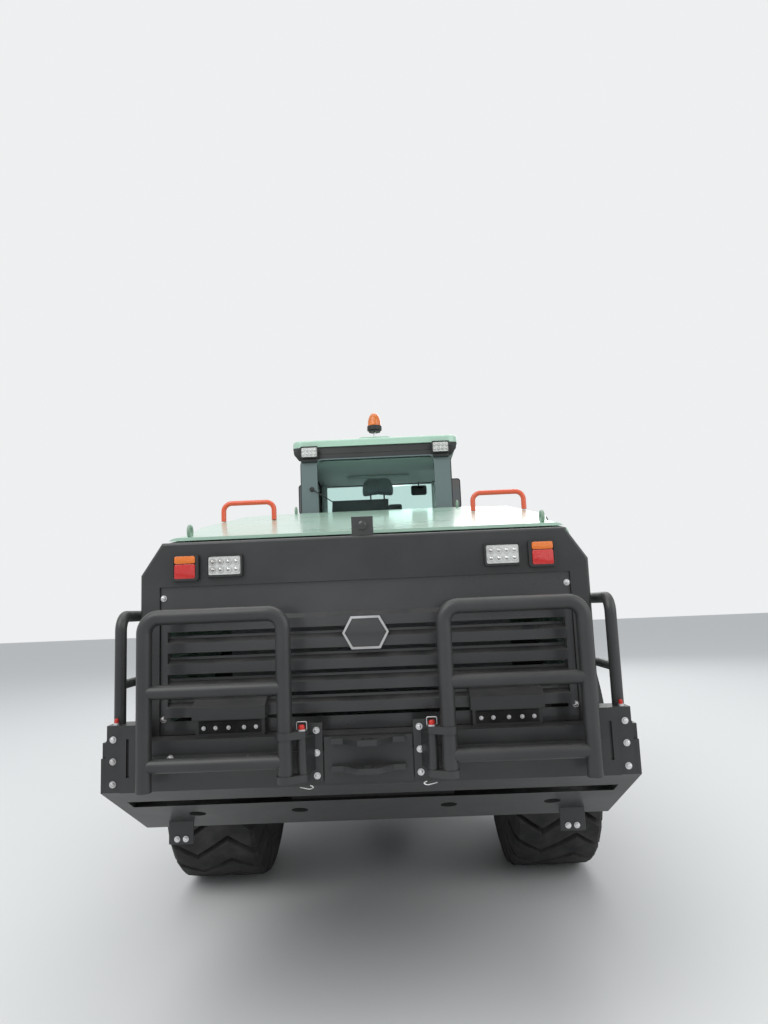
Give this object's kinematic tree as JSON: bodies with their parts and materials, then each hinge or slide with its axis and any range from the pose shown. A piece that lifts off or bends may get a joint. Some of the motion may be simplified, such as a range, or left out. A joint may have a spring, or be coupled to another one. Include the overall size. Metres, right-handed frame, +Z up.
{
  "type": "electric wheel loader",
  "caption": "Articulated electric wheel loader with a front bucket on a lift linkage, a glazed cab, a sloped hood and tubular rear guards.",
  "frame": {"origin": "on the ground under the steering pivot, midway between the axles, with the bucket flat on the ground", "axes": "+X to the machine's right, +Y forward towards the bucket, +Z up"},
  "size_m": [3, 8.4359, 3.525],
  "materials": {
    "tyre_rubber": "matt moulded rubber",
    "rim_paint": "satin paint",
    "chassis_grey": "satin paint",
    "bucket_grey": "satin paint",
    "edge_steel": "bare machined steel",
    "battery_case": "cast and brushed",
    "mint_paint": "semi gloss paint",
    "black_paint": "satin paint",
    "orange_paint": "semi gloss powder coat",
    "rod_chrome": "polished",
    "clear_glass": "green tinted, clear",
    "seat_fabric": "woven cover",
    "trim_plastic": "fine grain",
    "red_lens": "clear moulded",
    "white_lens": "clear moulded",
    "amber_lens": "clear moulded"
  },
  "bodies": {
    "chassis": {"rear_frame": "chassis_grey", "battery_pack": "battery_case", "drive_motor": "chassis_grey", "counterweight": "chassis_grey", "tow_coupling": "black_paint", "hood": "mint_paint", "rear_cowl": "black_paint", "louvre_grille": "black_paint", "tail_lamps": "red_lens", "work_lamps": "white_lens", "reversing_camera": "trim_plastic", "charge_boxes": "black_paint", "guard_brackets": "black_paint", "rear_mudguards": "black_paint", "handrails": "orange_paint", "access_steps": "black_paint", "cab_shell": "black_paint", "cab_roof": "mint_paint", "cab_glass": "clear_glass", "seat": "seat_fabric", "operator_controls": "trim_plastic", "beacon": "amber_lens", "mirrors": "trim_plastic", "rear_axle": "chassis_grey"},
    "front_chassis": {"front_frame": "chassis_grey", "front_axle": "chassis_grey", "front_mudguards": "black_paint", "front_lamps": "white_lens"},
    "wheel_front_left": {"tyre_front_left": "tyre_rubber", "rim_front_left": "rim_paint"},
    "wheel_front_right": {"tyre_front_right": "tyre_rubber", "rim_front_right": "rim_paint"},
    "wheel_rear_left": {"tyre_rear_left": "tyre_rubber", "rim_rear_left": "rim_paint"},
    "wheel_rear_right": {"tyre_rear_right": "tyre_rubber", "rim_rear_right": "rim_paint"},
    "door": {"cab_door": "black_paint", "door_glass": "clear_glass"},
    "rear_guard_left": {"rear_guard_left": "black_paint"},
    "rear_guard_right": {"rear_guard_right": "black_paint"},
    "side_guard_left": {"side_guard_left": "black_paint"},
    "side_guard_right": {"side_guard_right": "black_paint"},
    "steering_barrel_left": {"steering_barrel_left": "black_paint"},
    "steering_barrel_right": {"steering_barrel_right": "black_paint"},
    "steering_rod_left": {"steering_rod_left": "rod_chrome"},
    "steering_rod_right": {"steering_rod_right": "rod_chrome"},
    "boom": {"boom": "chassis_grey"},
    "lift_barrels": {"lift_barrels": "black_paint"},
    "lift_rods": {"lift_rods": "rod_chrome"},
    "tilt_barrel": {"tilt_barrel": "black_paint"},
    "tilt_rod": {"tilt_rod": "rod_chrome"},
    "bell_crank_pin": {"bell_crank_pin": "edge_steel"},
    "bell_crank": {"bell_crank": "chassis_grey"},
    "bucket_pins": {"bucket_pins": "edge_steel"},
    "bucket": {"bucket": "bucket_grey", "cutting_edge": "edge_steel"},
    "link_pin": {"link_pin": "edge_steel"},
    "bucket_link": {"bucket_link": "chassis_grey"}
  },
  "joints": [
    {"name": "articulation", "type": "hinge", "parent": "chassis", "child": "front_chassis", "pos_m": [0, 0, 0.8], "axis": [0, 0, 1], "range_deg": [-38, 38]},
    {"name": "steer_barrel_left_turn", "type": "hinge", "parent": "chassis", "child": "steering_barrel_left", "pos_m": [-0.45, -0.7, 0.76], "axis": [0, 0, 1], "range_deg": [-10.1, 10.1]},
    {"name": "steer_barrel_right_turn", "type": "hinge", "parent": "chassis", "child": "steering_barrel_right", "pos_m": [0.45, -0.7, 0.76], "axis": [0, 0, 1], "range_deg": [-10.1, 10.1]},
    {"name": "steer_rod_left_slide", "type": "slide", "parent": "steering_barrel_left", "child": "steering_rod_left", "axis": [0.1157, 0.9933, 0], "range_m": [-0.24, 0.24]},
    {"name": "steer_rod_right_slide", "type": "slide", "parent": "steering_barrel_right", "child": "steering_rod_right", "axis": [-0.1157, 0.9933, 0], "range_m": [-0.24, 0.24]},
    {"name": "wheel_front_left_spin", "type": "hinge", "parent": "front_chassis", "child": "wheel_front_left", "pos_m": [-1.095, 1.65, 0.79], "axis": [1, 0, 0], "continuous": true},
    {"name": "wheel_front_right_spin", "type": "hinge", "parent": "front_chassis", "child": "wheel_front_right", "pos_m": [1.095, 1.65, 0.79], "axis": [1, 0, 0], "continuous": true},
    {"name": "wheel_rear_left_spin", "type": "hinge", "parent": "chassis", "child": "wheel_rear_left", "pos_m": [-1.095, -1.65, 0.79], "axis": [1, 0, 0], "continuous": true},
    {"name": "wheel_rear_right_spin", "type": "hinge", "parent": "chassis", "child": "wheel_rear_right", "pos_m": [1.095, -1.65, 0.79], "axis": [1, 0, 0], "continuous": true},
    {"name": "cab_door_hinge", "type": "hinge", "parent": "chassis", "child": "door", "pos_m": [-0.6624, -0.618, 2.3], "axis": [0, 0, 1], "range_deg": [0, 85]},
    {"name": "rear_guard_left_hinge", "type": "hinge", "parent": "chassis", "child": "rear_guard_left", "pos_m": [-0.258, -4.13, 1.24], "axis": [0, 0, 1], "range_deg": [0, 100]},
    {"name": "rear_guard_right_hinge", "type": "hinge", "parent": "chassis", "child": "rear_guard_right", "pos_m": [0.258, -4.13, 1.24], "axis": [0, 0, -1], "range_deg": [0, 100]},
    {"name": "side_guard_left_hinge", "type": "hinge", "parent": "chassis", "child": "side_guard_left", "pos_m": [-1.032, -4, 1.34], "axis": [0, 0, 1], "range_deg": [0, 90]},
    {"name": "side_guard_right_hinge", "type": "hinge", "parent": "chassis", "child": "side_guard_right", "pos_m": [1.032, -4, 1.34], "axis": [0, 0, -1], "range_deg": [0, 90]},
    {"name": "boom_lift", "type": "hinge", "parent": "front_chassis", "child": "boom", "pos_m": [0, 0.98, 2.1], "axis": [1, 0, 0], "range_deg": [0, 86]},
    {"name": "lift_barrel_turn", "type": "hinge", "parent": "front_chassis", "child": "lift_barrels", "pos_m": [0, 0.53, 0.93], "axis": [1, 0, 0], "range_deg": [0, 34.7]},
    {"name": "lift_rod_slide", "type": "slide", "parent": "lift_barrels", "child": "lift_rods", "axis": [0, 0.9346, 0.3557], "range_m": [0, 0.972]},
    {"name": "bucket_level", "type": "hinge", "parent": "boom", "child": "bucket_pins", "pos_m": [0, 2.92, 0.3], "axis": [1, 0, 0], "range_deg": [-80, 0]},
    {"name": "bucket_tilt", "type": "hinge", "parent": "bucket_pins", "child": "bucket", "pos_m": [0, 2.92, 0.3], "axis": [-1, 0, 0], "range_deg": [-40, 46]},
    {"name": "bell_crank_level", "type": "hinge", "parent": "boom", "child": "bell_crank_pin", "pos_m": [0, 1.95, 1.4], "axis": [1, 0, 0], "range_deg": [0, 16.5]},
    {"name": "bell_crank_turn", "type": "hinge", "parent": "bell_crank_pin", "child": "bell_crank", "pos_m": [0, 1.95, 1.4], "axis": [1, 0, 0], "range_deg": [-8.3, 9.5]},
    {"name": "link_level", "type": "hinge", "parent": "bucket", "child": "link_pin", "pos_m": [0, 3.153, 0.533], "axis": [1, 0, 0], "range_deg": [0, 36.9]},
    {"name": "link_turn", "type": "hinge", "parent": "link_pin", "child": "bucket_link", "pos_m": [0, 3.153, 0.533], "axis": [1, 0, 0], "range_deg": [-23.6, 27.1]},
    {"name": "tilt_barrel_turn", "type": "hinge", "parent": "front_chassis", "child": "tilt_barrel", "pos_m": [0, 1.02, 1.93], "axis": [1, 0, 0], "range_deg": [0, 78.4]},
    {"name": "tilt_rod_slide", "type": "slide", "parent": "tilt_barrel", "child": "tilt_rod", "axis": [0, 0.9988, 0.0499], "range_m": [-0.079, 0.0685]}
  ],
  "couplings": [
    {"joint": "steer_barrel_left_turn", "follows": "articulation", "ratio": 0.26441},
    {"joint": "steer_barrel_right_turn", "follows": "articulation", "ratio": 0.26441},
    {"joint": "steer_rod_left_slide", "follows": "articulation", "m_per_rad": -0.3579},
    {"joint": "steer_rod_right_slide", "follows": "articulation", "m_per_rad": 0.3579},
    {"joint": "lift_barrel_turn", "follows": "boom_lift", "ratio": 0.4029},
    {"joint": "lift_rod_slide", "follows": "boom_lift", "m_per_rad": 0.64727},
    {"joint": "bucket_level", "follows": "boom_lift", "ratio": -0.93},
    {"joint": "bell_crank_level", "follows": "boom_lift", "ratio": 0.1916},
    {"joint": "bell_crank_turn", "follows": "bucket_tilt", "ratio": 0.2054},
    {"joint": "link_level", "follows": "boom_lift", "ratio": 0.4288},
    {"joint": "link_turn", "follows": "bucket_tilt", "ratio": 0.588},
    {"joint": "tilt_barrel_turn", "follows": "boom_lift", "ratio": 0.9108},
    {"joint": "tilt_rod_slide", "follows": "bucket_tilt", "m_per_rad": -0.098}
  ]
}
